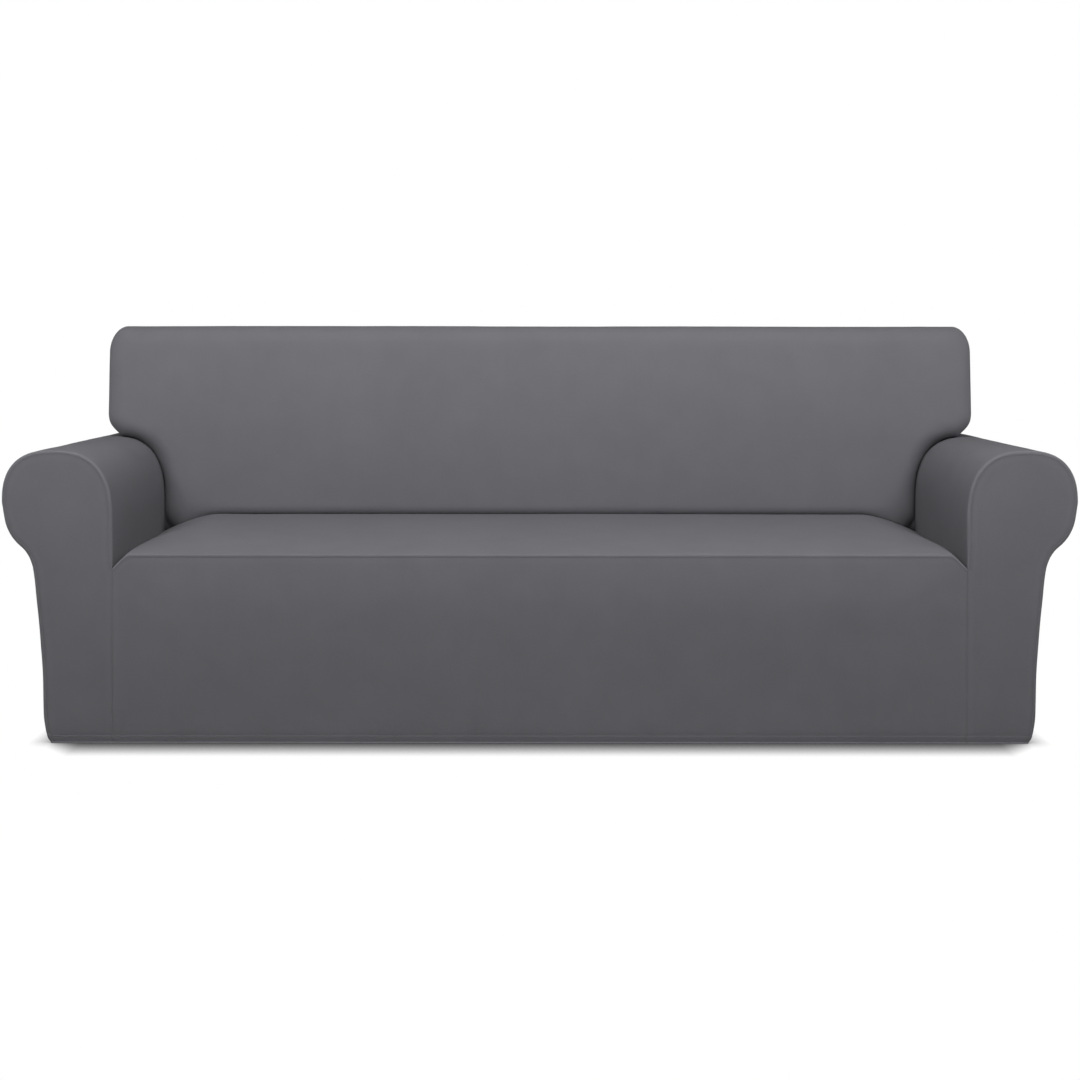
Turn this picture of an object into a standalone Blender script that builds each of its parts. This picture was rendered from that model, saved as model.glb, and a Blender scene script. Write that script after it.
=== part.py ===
"""A fitted stretch slipcover for a long sofa with rolled arms and an eared back.

The cover is a hollow shell of eight panels of knit cloth, open at the floor, with
the sofa left out. Neighbouring panels lie a seam gap apart, and where two of them
tuck into a crevice they lie face to face. Metres, +Z up, the front towards -Y, the
origin on the floor under the middle of the cover.
"""

import math

import bmesh
import bpy
from mathutils import Vector

# Overall size
DEPTH = 0.920
HEIGHT = 0.912
FRONT = -DEPTH / 2
REAR = DEPTH / 2

# Cloth and sewing
CLOTH = 0.002
SEAM_GAP = 0.0003
TUCK = 0.025
EDGE_ROUND = 0.010
SEAT_EDGE_ROUND = 0.005
ROUND_STEPS = 2
SEAM_FLAT = 0.003
EDGE_ROWS = ROUND_STEPS + 2

# Arm: a straight inner wall, a flattened quarter circle up to the crest and a rolled outside
ARM_INSIDE = 0.929
ARM_CREST_X = 1.060
ARM_CREST_Z = 0.638
INNER_CURVE_Z = 0.480
INNER_POWER = 2.6
ROLL_WIDEST_X = 1.170
ROLL_WIDEST_Z = 0.525
ROLL_POWER = 2.5

# Outside of the arm below the roll's widest line: the neck, the side and the drawn-in hem
ARM_OUTSIDE = (
    # height, half width
    (0.000, 1.0630),
    (0.011, 1.0710),
    (0.028, 1.0753),
    (0.063, 1.0795),
    (0.137, 1.0808),
    (0.224, 1.0862),
    (0.310, 1.0938),
    (0.381, 1.1018),
    (0.403, 1.1091),
    (0.420, 1.1200),
    (0.437, 1.1380),
    (0.455, 1.1517),
    (0.480, 1.1622),
    (0.525, 1.1700),
)
# How far the front and rear faces are drawn in towards the hem
FACE_DRAWN_IN = (
    # height, inward
    (0.000, 0.021),
    (0.011, 0.014),
    (0.028, 0.010),
    (0.063, 0.007),
    (0.137, 0.005),
    (0.224, 0.002),
    (0.310, 0.000),
)
# Heights of the cross seams' corners, shared by every panel that meets the arm
BASE_LEVELS = (0.000, 0.011, 0.028, 0.063, 0.137, 0.224, 0.310, 0.370)
ARM_LEVELS = (
    0.381, 0.403, 0.420, 0.437, 0.455, 0.480, 0.525,
    0.560, 0.590, 0.610, 0.623, 0.6345, 0.6370,
)
TIP_LEVEL = ARM_LEVELS[0]
EAR_TUCK_LEVEL = 0.623
# Below this height a seam is set in from the outline straight sideways
LEVEL_INSET_TOP = 0.137
# The arm's front edge grows round from the seat's corner upwards
TIP_ROUND = (
    # height, radius
    (0.381, 0.0025),
    (0.403, 0.0060),
    (0.420, EDGE_ROUND),
)
ARM_BODY_ROWS = (-0.30, -0.15, 0.00)

# Seat: crowned from front to back, dipping into a crease along each arm
SEAT_FRONT_Z = 0.413
SEAT_CROWN = 0.036
SEAT_CROWN_DEPTH = 0.450
SEAT_DEPTHS = (0.030, 0.075, 0.160, 0.280, 0.400, 0.500)
ARM_CREASE = (
    # depth behind the front, height
    (0.000, TIP_LEVEL),
    (0.075, 0.390),
    (0.160, 0.399),
    (0.475, 0.402),
    (0.550, 0.405),
)
SHOULDER_FRONT, SHOULDER_REAR = 0.034, 0.140
SHOULDER_POWER_FRONT, SHOULDER_POWER_REAR = 1.15, 1.60
SHOULDER_SETTLES = 0.400
# Distances of the seam-side columns from the arm, then even columns to the middle
SIDE_COLUMNS = (0.000, 0.004, 0.012, 0.025, 0.045, 0.075, 0.110, 0.150)
MIDDLE_COLUMNS = 5

# Back: leans a little, is crowned towards the sitter and rounded at its edges
BACK_FOOT_Y, BACK_TOP_Y = 0.110, 0.145
BACK_TUCK_Y = 0.155
BACK_CROWN = 0.035
BACK_EDGE = 0.045
BACK_CORNER_EXTRA = 0.055
BACK_CORNER_REACH = 0.130
FOOT_ROWS = (0.000, 0.004, 0.012)
FOOT_SETTLED_Z = INNER_CURVE_Z
BACK_EXTRA_LEVEL = 0.500
EAR_X = 1.072
EAR_CORNER = (
    # height, half width
    (0.6395, 1.0370),
    (0.6500, 1.0495),
    (0.6630, 1.0620),
    (0.6770, 1.0695),
    (0.6915, EAR_X),
)
EAR_SIDE_LEVELS = (0.740, 0.780)
TOP_CORNER_X, TOP_CORNER_Z = 0.045, 0.065
TOP_CORNER_STEPS = 6
BACK_SIDE_ROWS = (0.23, 0.31, 0.39)
REAR_COLUMNS = 14
ARM_FRONT_COLUMNS = 5

CLOTH_COLOUR = (0.150, 0.149, 0.163, 1.0)
CLOTH_ROUGHNESS = 0.9


def lookup(table, at):
    """Value at a position of a two-column table, on a smooth curve that never overshoots a row."""
    places = [row[0] for row in table]
    values = [row[1] for row in table]
    if at <= places[0]:
        return values[0]
    if at >= places[-1]:
        return values[-1]
    slopes = [
        (values[k + 1] - values[k]) / (places[k + 1] - places[k])
        for k in range(len(table) - 1)
    ]
    tangents = [slopes[0]]
    for before, after in zip(slopes, slopes[1:]):
        same_way = before * after > 0
        tangents.append(2 * before * after / (before + after) if same_way else 0.0)
    tangents.append(slopes[-1])
    k = max(k for k in range(len(slopes)) if places[k] <= at)
    span = places[k + 1] - places[k]
    s = (at - places[k]) / span
    return (
        values[k] * (1 + 2 * s) * (1 - s) ** 2
        + tangents[k] * span * s * (1 - s) ** 2
        + values[k + 1] * s * s * (3 - 2 * s)
        + tangents[k + 1] * span * s * s * (s - 1)
    )


def ease(share):
    """0 to 1 with a soft start and end."""
    share = min(1.0, max(0.0, share))
    return share * share * (3 - 2 * share)


def blend(first, second, share):
    """Between two values, by a share."""
    return first + (second - first) * share


# Arm outline


def arm_inner_x(z):
    """Half width of the inner wall, which curves out to the crest above INNER_CURVE_Z."""
    rise = (z - INNER_CURVE_Z) / (ARM_CREST_Z - INNER_CURVE_Z)
    if rise <= 0:
        return ARM_INSIDE
    reach = ARM_CREST_X - ARM_INSIDE
    return ARM_CREST_X - reach * max(0.0, 1 - rise**INNER_POWER) ** (1 / INNER_POWER)


def arm_outer_x(z):
    """Half width of the outside: a flattened circle above the widest line, the table below it."""
    rise = (z - ROLL_WIDEST_Z) / (ARM_CREST_Z - ROLL_WIDEST_Z)
    if rise <= 0:
        return lookup(ARM_OUTSIDE, z)
    reach = ROLL_WIDEST_X - ARM_CREST_X
    return ARM_CREST_X + reach * max(0.0, 1 - rise**ROLL_POWER) ** (1 / ROLL_POWER)


def crease_z(depth):
    """Height of the crease between seat and arm, at a depth behind the front."""
    return lookup(ARM_CREASE, depth)


def inner_stations(depth):
    """Points up the inner wall from the crease to just short of the crest."""
    crease = crease_z(depth)
    straight = INNER_CURVE_Z - TIP_LEVEL
    points = []
    for level in ARM_LEVELS:
        z = level
        if level < INNER_CURVE_Z:
            z = blend(crease, INNER_CURVE_Z, (level - TIP_LEVEL) / straight)
        points.append(Vector((arm_inner_x(z), z)))
    return points


def outer_stations():
    """Points up the outside from the hem to just short of the crest."""
    return [Vector((arm_outer_x(z), z)) for z in BASE_LEVELS + ARM_LEVELS]


def arm_stations(depth):
    """The whole outline of the right arm from the seat's crease over the crest to the hem."""
    crest = Vector((ARM_CREST_X, ARM_CREST_Z))
    return inner_stations(depth) + [crest] + outer_stations()[::-1]


def left_normals(points):
    """Unit normals to the left of a run of points; near the hem they stay level."""
    normals = []
    for k, point in enumerate(points):
        along = points[min(k + 1, len(points) - 1)] - points[max(k - 1, 0)]
        normal = Vector((-along.y, along.x))
        if point.y < LEVEL_INSET_TOP:
            normal.y = 0.0
        normals.append(normal.normalized())
    return normals


def station_rounds(points):
    """Radius of the arm's front edge at each station: small at the seat's corner, full elsewhere."""
    inner_count = len(ARM_LEVELS)
    return [
        lookup(TIP_ROUND, point.y) if k < inner_count else EDGE_ROUND
        for k, point in enumerate(points)
    ]


def turned_edge(step, radius):
    """(sideways, inwards) from a wall's edge round to the seam; step 0 is the seam, on the flat."""
    if step == 0:
        return radius + SEAM_FLAT, 0.0
    turn = math.pi / 2 * (step - 1) / ROUND_STEPS
    return radius * (1 - math.sin(turn)), radius * (1 - math.cos(turn))


def inset(points, distances):
    """The outline's points, each moved in from the edge by its own distance."""
    normals = left_normals(points)
    return [p - n * d for p, n, d in zip(points, normals, distances)]


def drawn_in(z):
    """How far the front or rear face lies in from its plane at a height."""
    return lookup(FACE_DRAWN_IN, z)


# Seat surface


def seat_z(x, depth):
    """Height of the seat: its crown in the middle, falling over a shoulder to the crease."""
    rise = 1 - (1 - min(depth, SEAT_CROWN_DEPTH) / SEAT_CROWN_DEPTH) ** 2
    top = SEAT_FRONT_Z + SEAT_CROWN * rise
    settled = ease(depth / SHOULDER_SETTLES)
    width = blend(SHOULDER_FRONT, SHOULDER_REAR, settled)
    power = blend(SHOULDER_POWER_FRONT, SHOULDER_POWER_REAR, settled)
    share = max(0.0, 1 - (ARM_INSIDE - abs(x)) / width)
    return top - (top - crease_z(depth)) * share**power


def half_columns(edge):
    """Half widths from the edge inwards to the middle: close at the side, then even."""
    inner = edge - SIDE_COLUMNS[-1]
    even = [inner * k / MIDDLE_COLUMNS for k in range(MIDDLE_COLUMNS - 1, -1, -1)]
    return [edge - t for t in SIDE_COLUMNS] + even


def full_columns(edge):
    """The same columns on both sides of the middle, from left to right."""
    half = half_columns(edge)
    return [-x for x in half] + half[-2::-1]


# Back outline and face


def back_foot_z(x):
    """Height of the back's foot, which stands a seam gap above the rear of the seat."""
    return seat_z(min(abs(x), ARM_INSIDE), BACK_TUCK_Y - FRONT) + SEAM_GAP


def back_side_points():
    """Right edge of the back's front face, from the seat up along the arm, the ear and the corner."""
    foot = back_foot_z(0)
    points = [Vector((ARM_INSIDE - SEAM_GAP, foot + rise)) for rise in FOOT_ROWS]
    arm = inner_stations(BACK_FOOT_Y - FRONT) + [Vector((ARM_CREST_X, ARM_CREST_Z))]
    normals = left_normals(arm)
    curve_start = ARM_LEVELS.index(INNER_CURVE_Z)
    for station in range(curve_start, len(ARM_LEVELS) - 1):
        points.append(arm[station] + normals[station] * SEAM_GAP)
    extra = Vector((arm_inner_x(BACK_EXTRA_LEVEL) - SEAM_GAP, BACK_EXTRA_LEVEL))
    points.insert(len(FOOT_ROWS) + 1, extra)
    points += [Vector((x, z)) for z, x in EAR_CORNER]
    points += [Vector((EAR_X, z)) for z in EAR_SIDE_LEVELS]
    for step in range(TOP_CORNER_STEPS + 1):
        turn = math.pi / 2 * step / TOP_CORNER_STEPS
        points.append(
            Vector((
                EAR_X - TOP_CORNER_X * (1 - math.cos(turn)),
                HEIGHT - TOP_CORNER_Z * (1 - math.sin(turn)),
            ))
        )
    return points


def back_side_normals(side):
    """Outward unit normals along that edge, with those of the ear's two ends its own."""
    normals = [-normal for normal in left_normals(side)]
    start = ear_start_row(side)
    along = side[start + 1] - side[start]
    normals[start] = Vector((along.y, -along.x)).normalized()
    normals[-1] = Vector((0, 1))
    return normals


def arm_side_row(level):
    """Row of the back's side edge that lies on the arm at one of the arm's curved levels."""
    steps = ARM_LEVELS.index(level) - ARM_LEVELS.index(INNER_CURVE_Z)
    return len(FOOT_ROWS) + 1 + steps


def ear_start_row(side):
    """Row of the back's side edge where the ear leaves the arm."""
    return len(side) - len(EAR_CORNER) - len(EAR_SIDE_LEVELS) - TOP_CORNER_STEPS - 1


def back_plane(z):
    """Depth of the back's leaning plane, in front of which its crown stands."""
    foot = SEAT_FRONT_Z + SEAT_CROWN
    return blend(BACK_FOOT_Y, BACK_TOP_Y, (z - foot) / (HEIGHT - foot))


def distance_to(points, spot):
    """Shortest distance from a spot to a run of straight stretches."""
    best = math.inf
    for start, end in zip(points, points[1:]):
        along = end - start
        share = min(1.0, max(0.0, (spot - start).dot(along) / along.length_squared))
        best = min(best, (start + along * share - spot).length)
    return best


def back_y(from_edge, from_foot, z):
    """Depth of the back's face: crowned, and rounded away within an edge's width of its outline."""
    near_foot = 1 - ease(from_foot / BACK_CORNER_REACH)
    near_edge = 1 - ease(from_edge / BACK_CORNER_REACH)
    edge = max(0.0, 1 - from_edge / (BACK_EDGE + BACK_CORNER_EXTRA * near_foot))
    foot = max(0.0, 1 - from_foot / (BACK_EDGE + BACK_CORNER_EXTRA * near_edge))
    share = min(1.0, math.hypot(edge, foot))
    return back_plane(z) - BACK_CROWN * math.sqrt(1 - share**2)


# Panels


def cloth_material(name):
    material = bpy.data.materials.new(name)
    material.use_nodes = True
    shader = material.node_tree.nodes["Principled BSDF"]
    shader.inputs["Base Color"].default_value = CLOTH_COLOUR
    shader.inputs["Roughness"].default_value = CLOTH_ROUGHNESS
    shader.inputs["Metallic"].default_value = 0.0
    material.diffuse_color = CLOTH_COLOUR
    return material


def grid(columns, rows, place, keep=None):
    """An open surface of columns x rows corners, each put where place(column, row) says."""
    bm = bmesh.new()
    bmesh.ops.create_grid(bm, x_segments=columns - 1, y_segments=rows - 1, size=0.5)
    corners = {}
    for vert in bm.verts:
        column = round((vert.co.x + 0.5) * (columns - 1))
        row = round((vert.co.y + 0.5) * (rows - 1))
        corners[vert] = (column, row)
    if keep:
        unwanted = []
        for face in bm.faces:
            column = min(corners[vert][0] for vert in face.verts)
            row = min(corners[vert][1] for vert in face.verts)
            if not keep(column, row):
                unwanted.append(face)
        bmesh.ops.delete(bm, geom=unwanted, context="FACES")
    for vert, (column, row) in corners.items():
        if vert.is_valid:
            vert.co = place(column, row)
    return bm


def make_panel(name, bm, collection, mirrored=False):
    """Turns an open surface with its faces outwards into a panel of cloth, thickened inwards."""
    if mirrored:
        bmesh.ops.scale(bm, vec=(-1, 1, 1), verts=bm.verts)
        bmesh.ops.reverse_faces(bm, faces=bm.faces)
    mesh = bpy.data.meshes.new(name)
    bm.to_mesh(mesh)
    bm.free()
    mesh.shade_smooth()
    mesh.materials.append(cloth_material(name + "_cloth"))
    panel = bpy.data.objects.new(name, mesh)
    collection.objects.link(panel)
    thickness = panel.modifiers.new("Cloth thickness", "SOLIDIFY")
    thickness.thickness = CLOTH
    thickness.offset = -1.0
    return panel


def seat_panel(collection):
    """The seat deck, rolled over its front edge, with a tuck down beside each arm."""
    xs = full_columns(ARM_INSIDE - SEAM_GAP)
    xs = [xs[0]] + xs + [xs[-1]]
    depths = SEAT_DEPTHS + (BACK_FOOT_Y - FRONT, BACK_TUCK_Y - FRONT)
    last = len(xs) - 1

    def place(column, row):
        x = xs[column]
        if row < EDGE_ROWS:
            rolled, depth = turned_edge(row, SEAT_EDGE_ROUND)
        else:
            rolled, depth = 0.0, depths[row - EDGE_ROWS]
        tuck = TUCK if column in (0, last) else 0.0
        return Vector((x, FRONT + depth, seat_z(x, depth) - rolled - tuck))

    def keep(column, row):
        return row >= EDGE_ROWS - 1 or 0 < column < last - 1

    surface = grid(len(xs), EDGE_ROWS + len(depths), place, keep)
    return make_panel("seat_panel", surface, collection)


def front_skirt(collection):
    """The front of the base, from the seat's rolled edge down to the drawn-in hem."""
    xs = full_columns(ARM_INSIDE - SEAM_GAP / 2)

    def place(column, row):
        x = xs[column]
        if row < len(BASE_LEVELS) - 1:
            z = BASE_LEVELS[row]
        else:
            z = seat_z(x, 0.0) - turned_edge(0, SEAT_EDGE_ROUND)[0] - SEAM_GAP
        return Vector((x, FRONT + drawn_in(z), z))

    surface = grid(len(xs), len(BASE_LEVELS), place)
    return make_panel("front_skirt", surface, collection)


def arm_panel(name, collection, mirrored):
    """Inside of the arm, over the crest and down to the hem, turned round its front and rear edges."""
    inner_count = len(ARM_LEVELS)
    body = ARM_BODY_ROWS + (BACK_FOOT_Y, BACK_TUCK_Y) + BACK_SIDE_ROWS
    rows = 2 * EDGE_ROWS + len(body)
    tuck_row = EDGE_ROWS + len(ARM_BODY_ROWS) + 1
    ear_column = 1 + ARM_LEVELS.index(EAR_TUCK_LEVEL)
    crest_column = 1 + inner_count
    points = arm_stations(0.0)

    def edge_place(station, step, sign):
        """A corner on the rounded front or rear edge; step counts up from the seam."""
        sideways, inwards = turned_edge(step, station_rounds(points)[station])
        spot = points[station] - left_normals(points)[station] * sideways
        y = REAR - drawn_in(points[station].y) - inwards
        return Vector((spot.x, sign * y, spot.y))

    def place(column, row):
        station = max(0, column - 1)
        if row < EDGE_ROWS:
            spot = edge_place(station, row, -1)
        elif row >= rows - EDGE_ROWS:
            spot = edge_place(station, rows - 1 - row, 1)
        else:
            y = body[row - EDGE_ROWS]
            point = arm_stations(y - FRONT)[station]
            spot = Vector((point.x, y, point.y))
        if column == 0:
            spot.z -= TUCK
        return spot

    def keep(column, row):
        if row < EDGE_ROWS - 1:
            return column > 0
        if row < tuck_row:
            return True
        if row < rows - EDGE_ROWS:
            return column >= ear_column
        return column >= crest_column

    columns = 1 + inner_count + 1 + len(outer_stations())
    return make_panel(name, grid(columns, rows, place, keep), collection, mirrored)


def arm_front(name, collection, mirrored):
    """The scroll-shaped face of the arm, inside the arm panel's rounded front edge."""
    points = arm_stations(0.0)
    seams = [turned_edge(0, radius)[0] + SEAM_GAP for radius in station_rounds(points)]
    outline = inset(points, seams)
    count = len(ARM_LEVELS)
    inner = [Vector((ARM_INSIDE + SEAM_GAP / 2, z)) for z in BASE_LEVELS] + outline[:count]
    outer = outline[:count:-1]
    crest = outline[count]

    def place(column, row):
        share = column / (ARM_FRONT_COLUMNS - 1)
        if row < len(inner):
            spot = inner[row].lerp(outer[row], share)
        elif share < 0.5:
            spot = inner[-1].lerp(crest, 2 * share)
        else:
            spot = crest.lerp(outer[-1], 2 * share - 1)
        return Vector((spot.x, FRONT + drawn_in(spot.y), spot.y))

    surface = grid(ARM_FRONT_COLUMNS, len(inner), place)
    return make_panel(name, surface, collection, mirrored)


def back_face_place(side, columns):
    """Where each corner of the back's front face lies; a row spans the back at one side point."""
    foot = side[0].y
    upper_edge = side[len(FOOT_ROWS):] + [Vector((0, HEIGHT))]

    def place(column, row):
        edge, level = side[row]
        x = full_columns(edge)[column]
        settle = max(0.0, (FOOT_SETTLED_Z - level) / (FOOT_SETTLED_Z - foot))
        z = level - (foot - back_foot_z(x)) * settle
        from_edge = edge - abs(x)
        if row > len(FOOT_ROWS):
            from_edge = distance_to(upper_edge, Vector((abs(x), z)))
        return Vector((x, back_y(from_edge, z - back_foot_z(x), z), z))

    return place


def back_rim(side, columns):
    """(column, row, outward normal) round the face: up the right, along the top, down, and back."""
    normals = back_side_normals(side)
    top = len(side) - 1
    right = [(columns - 1, row, normals[row]) for row in range(top + 1)]
    over = [(column, top, Vector((0, 1))) for column in range(columns - 2, 0, -1)]
    left = [(0, row, Vector((-n.x, n.y))) for row, n in reversed(list(enumerate(normals)))]
    foot = [(column, 0, Vector((0, -1))) for column in range(1, columns)]
    return right + over + left + foot


def inside_back(collection):
    """Front of the back, tucked along seat and arms, its ears and top carried to the rear seam."""
    side = back_side_points()
    columns = len(full_columns(ARM_INSIDE))
    face_place = back_face_place(side, columns)
    rim = back_rim(side, columns)
    body = (BACK_TUCK_Y,) + BACK_SIDE_ROWS
    last = len(body) + EDGE_ROWS
    ear_row = arm_side_row(EAR_TUCK_LEVEL)
    rear_row = ear_start_row(side)

    def rim_place(column, row):
        face_column, face_row, normal = rim[column]
        spot = face_place(face_column, face_row)
        if 0 < row <= len(body):
            spot.y = body[row - 1]
        elif row > len(body):
            sideways, inwards = turned_edge(last - row, EDGE_ROUND)
            spot.x -= normal.x * sideways
            spot.z -= normal.y * sideways
            spot.y = REAR - inwards
        return spot

    def keep(column, row):
        lowest = min(rim[column][1], rim[column + 1][1])
        if row == 0:
            return True
        return lowest >= (ear_row if row <= len(body) else rear_row)

    wrap = grid(len(rim), last + 1, rim_place, keep)
    bmesh.ops.reverse_faces(wrap, faces=wrap.faces)
    wrap_mesh = bpy.data.meshes.new("inside_back_wrap")
    wrap.to_mesh(wrap_mesh)
    wrap.free()
    surface = grid(columns, len(side), face_place)
    surface.from_mesh(wrap_mesh)
    bpy.data.meshes.remove(wrap_mesh)
    bmesh.ops.remove_doubles(surface, verts=surface.verts, dist=SEAM_GAP / 10)
    return make_panel("inside_back", surface, collection)


def outside_back(collection):
    """The rear panel: base, arm rolls and ears in one outline, inside the rounded rear edges."""
    points = arm_stations(0.0)
    distance = turned_edge(0, EDGE_ROUND)[0] + SEAM_GAP
    arm = inset(points, [distance] * len(points))
    crest = len(ARM_LEVELS)
    side = back_side_points()
    normals = back_side_normals(side)
    ear_start = ear_start_row(side)
    ear = [side[k] - normals[k] * distance for k in range(ear_start, len(side))]
    clear = Vector((SEAM_GAP, SEAM_GAP))
    notch = [arm[crest] - clear, points[crest] - clear, side[ear_start] - clear]
    edge = arm[:crest:-1] + notch + ear

    def place(column, row):
        share = 1 - 2 * column / REAR_COLUMNS
        z = edge[row].y
        return Vector((share * edge[row].x, REAR - drawn_in(z), z))

    return make_panel("outside_back", grid(REAR_COLUMNS + 1, len(edge), place), collection)


def main():
    for obj in list(bpy.data.objects):
        bpy.data.objects.remove(obj, do_unlink=True)
    collection = bpy.data.collections.new("sofa_slipcover")
    bpy.context.scene.collection.children.link(collection)
    seat_panel(collection)
    front_skirt(collection)
    for name, mirrored in (("left", True), ("right", False)):
        arm_panel("arm_" + name, collection, mirrored)
        arm_front("arm_front_" + name, collection, mirrored)
    inside_back(collection)
    outside_back(collection)


main()
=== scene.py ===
"""Looks of a fitted stretch slipcover for a long sofa with rolled arms and an eared back.

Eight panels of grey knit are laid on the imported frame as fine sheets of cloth: their seams
are drawn in, their hem is turned and stitched, and they keep the small unevenness of cloth
stretched over upholstery. Metres, +Z up, the front towards -Y.
"""

import math

import bmesh
import bpy
import numpy as np
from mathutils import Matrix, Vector


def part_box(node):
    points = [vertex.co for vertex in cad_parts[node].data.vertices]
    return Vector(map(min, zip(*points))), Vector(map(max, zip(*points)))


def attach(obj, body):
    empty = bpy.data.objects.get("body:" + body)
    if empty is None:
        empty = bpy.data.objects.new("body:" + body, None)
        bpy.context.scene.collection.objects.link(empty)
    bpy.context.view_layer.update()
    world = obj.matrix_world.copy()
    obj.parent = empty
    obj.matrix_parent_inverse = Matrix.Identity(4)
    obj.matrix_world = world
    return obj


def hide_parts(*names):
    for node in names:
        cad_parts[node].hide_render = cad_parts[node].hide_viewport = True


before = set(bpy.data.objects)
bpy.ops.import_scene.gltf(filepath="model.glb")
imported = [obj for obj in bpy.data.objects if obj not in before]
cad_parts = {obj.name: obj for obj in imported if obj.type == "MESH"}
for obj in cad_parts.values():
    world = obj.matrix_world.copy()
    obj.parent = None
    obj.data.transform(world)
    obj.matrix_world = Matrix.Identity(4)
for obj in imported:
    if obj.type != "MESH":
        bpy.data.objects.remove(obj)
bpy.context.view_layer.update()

# Sizes read from the frame
arm_low, arm_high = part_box("arm_right")
_, back_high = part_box("inside_back")
FRONT, REAR = arm_low.y, arm_high.y
ARM_INSIDE, ROLL_WIDEST_X, ARM_CREST_Z = arm_low.x, arm_high.x, arm_high.z
EAR_X, HEIGHT = back_high.x, back_high.z

# Cloth and sewing
CLOTH = 0.002
SEAM_GAP = 0.0002
TUCK = 0.025
EDGE_ROUND = 0.006
SEAT_EDGE_ROUND = 0.005
SEAM_FLAT = 0.003
STRETCH = 1.10

# Spacing of the cloth's grid: even, and close beside seams and creases. Fine lines are
# the smooth outlines that the grid is read from.
GRID = 0.008
REAR_GRID = 0.013
SEAM_SIDE = (0.0, 0.0010, 0.0021, 0.0034, 0.0050, 0.0075, 0.0115)
EDGE_FLATS = (1.0, 0.66, 0.33)
EDGE_TURNS = tuple(math.radians(angle) for angle in (0, 13, 26, 39, 52, 65, 78, 90))
CURVE_POINTS, WALL_POINTS, SIDE_POINTS = 120, 40, 260
EAR_POINTS, CORNER_POINTS = 14, 40

# Arm
ARM_CREST_X = 1.060
INNER_CURVE_Z = 0.480
INNER_POWER = 2.6
ROLL_WIDEST_Z = 0.525
ROLL_POWER = 2.5
ARM_OUTSIDE = (
    # height, half width
    (0.000, 1.0630),
    (0.011, 1.0710),
    (0.028, 1.0753),
    (0.063, 1.0795),
    (0.137, 1.0808),
    (0.224, 1.0862),
    (0.310, 1.0938),
    (0.381, 1.1018),
    (0.403, 1.1091),
    (0.420, 1.1200),
    (0.437, 1.1380),
    (0.455, 1.1517),
    (0.480, 1.1622),
    (0.525, ROLL_WIDEST_X),
)
FACE_DRAWN_IN = (
    # height, inward
    (0.000, 0.009),
    (0.011, 0.007),
    (0.028, 0.0055),
    (0.063, 0.0045),
    (0.137, 0.003),
    (0.224, 0.0015),
    (0.310, 0.000),
)
TIP_LEVEL = 0.381
EAR_TUCK_LEVEL = 0.623
LEVEL_INSET_TOP = 0.137
TIP_ROUND = (
    # height, radius
    (0.381, 0.0025),
    (0.403, 0.0045),
    (0.420, EDGE_ROUND),
)

# Seat
SEAT_FRONT_Z = 0.413
SEAT_CROWN = 0.036
SEAT_CROWN_DEPTH = 0.450
ARM_CREASE = (
    # depth behind the front, height
    (0.000, TIP_LEVEL),
    (0.075, 0.390),
    (0.160, 0.399),
    (0.475, 0.402),
    (0.550, 0.405),
)
SHOULDER_FRONT, SHOULDER_REAR = 0.034, 0.140
SHOULDER_POWER_FRONT, SHOULDER_POWER_REAR = 1.15, 1.60
SHOULDER_SETTLES = 0.400

# Front of the base, which swells a little under the seat's edge
SWELL, SWELL_FOOT, SWELL_WIDEST, SWELL_SIDE = 0.0045, 0.040, 0.300, 0.100

# Back
BACK_FOOT_Y, BACK_TOP_Y = 0.110, 0.145
BACK_TUCK_Y = 0.155
BACK_CROWN, BACK_BARREL = 0.035, 0.009
BACK_EDGE, BACK_FOOT_EDGE = 0.045, 0.020
BACK_FOOT_TURN = 0.65
BACK_CORNER_EXTRA = 0.035
BACK_CORNER_REACH = 0.130
EAR_CORNER = (
    # height, half width
    (0.6395, 1.0370),
    (0.6500, 1.0495),
    (0.6630, 1.0620),
    (0.6770, 1.0695),
    (0.6915, EAR_X),
)
TOP_CORNER_X, TOP_CORNER_Z = 0.045, 0.065
EAR_LINING_REAR = 0.390
EAR_SHADE_FALL = 2.0
NOTCH_REACH = 0.045
CLEAR_OF_FOOT, CLEAR_OF_EAR = 0.001, 0.002
BACK_SIDE_BAND = 0.160
BACK_MIDDLE_COLUMNS = 100
REAR_COLUMNS = 160
SCROLL_SIDE = (0.0, 0.006, 0.014, 0.025, 0.042, 0.065, 0.100)
SCROLL_COLUMNS = 24

# Hem, seams and unevenness of the cloth's surface
HEM_ROWS = np.array((
    0.0, 0.0008, 0.0018, 0.0028, 0.0040, 0.0055, 0.0080,
    0.0120, 0.0155, 0.0168, 0.0180, 0.0192, 0.0210, 0.0270,
))
HEM_BAND = 0.018
HEM_RAISED = 0.0003
HEM_STEP = 0.0016
HEM_ROW_DEPTH = 0.0002
HEM_FOLD, HEM_FOLD_DEPTH = 0.0014, 0.0006
HEM_BEAD, HEM_BEAD_AT = 0.0012, 0.0009
SEAM_DEPTH, SEAM_WIDTH = 0.0002, 0.0030
SEAM_RIDGE, SEAM_RIDGE_AT = 0.0001, 0.0085
TUCK_CALM, HEM_CALM = 0.060, 0.080
TUCK_STEPS = 5
NO_SEAM = 1.0
UNEVENNESS = (
    # size, height, seed
    (0.320, 0.0011, 3),
    (0.120, 0.0006, 5),
    (0.035, 0.00018, 7),
)
LATTICE, LATTICE_START = 32, 100.0
CREASES = (
    # start, end, width, height
    ((0.895, -0.460, 0.352), (0.800, -0.458, 0.290), 0.014, -0.0009),
)
CREASE_FADES = (0.12, 0.88)

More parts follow.
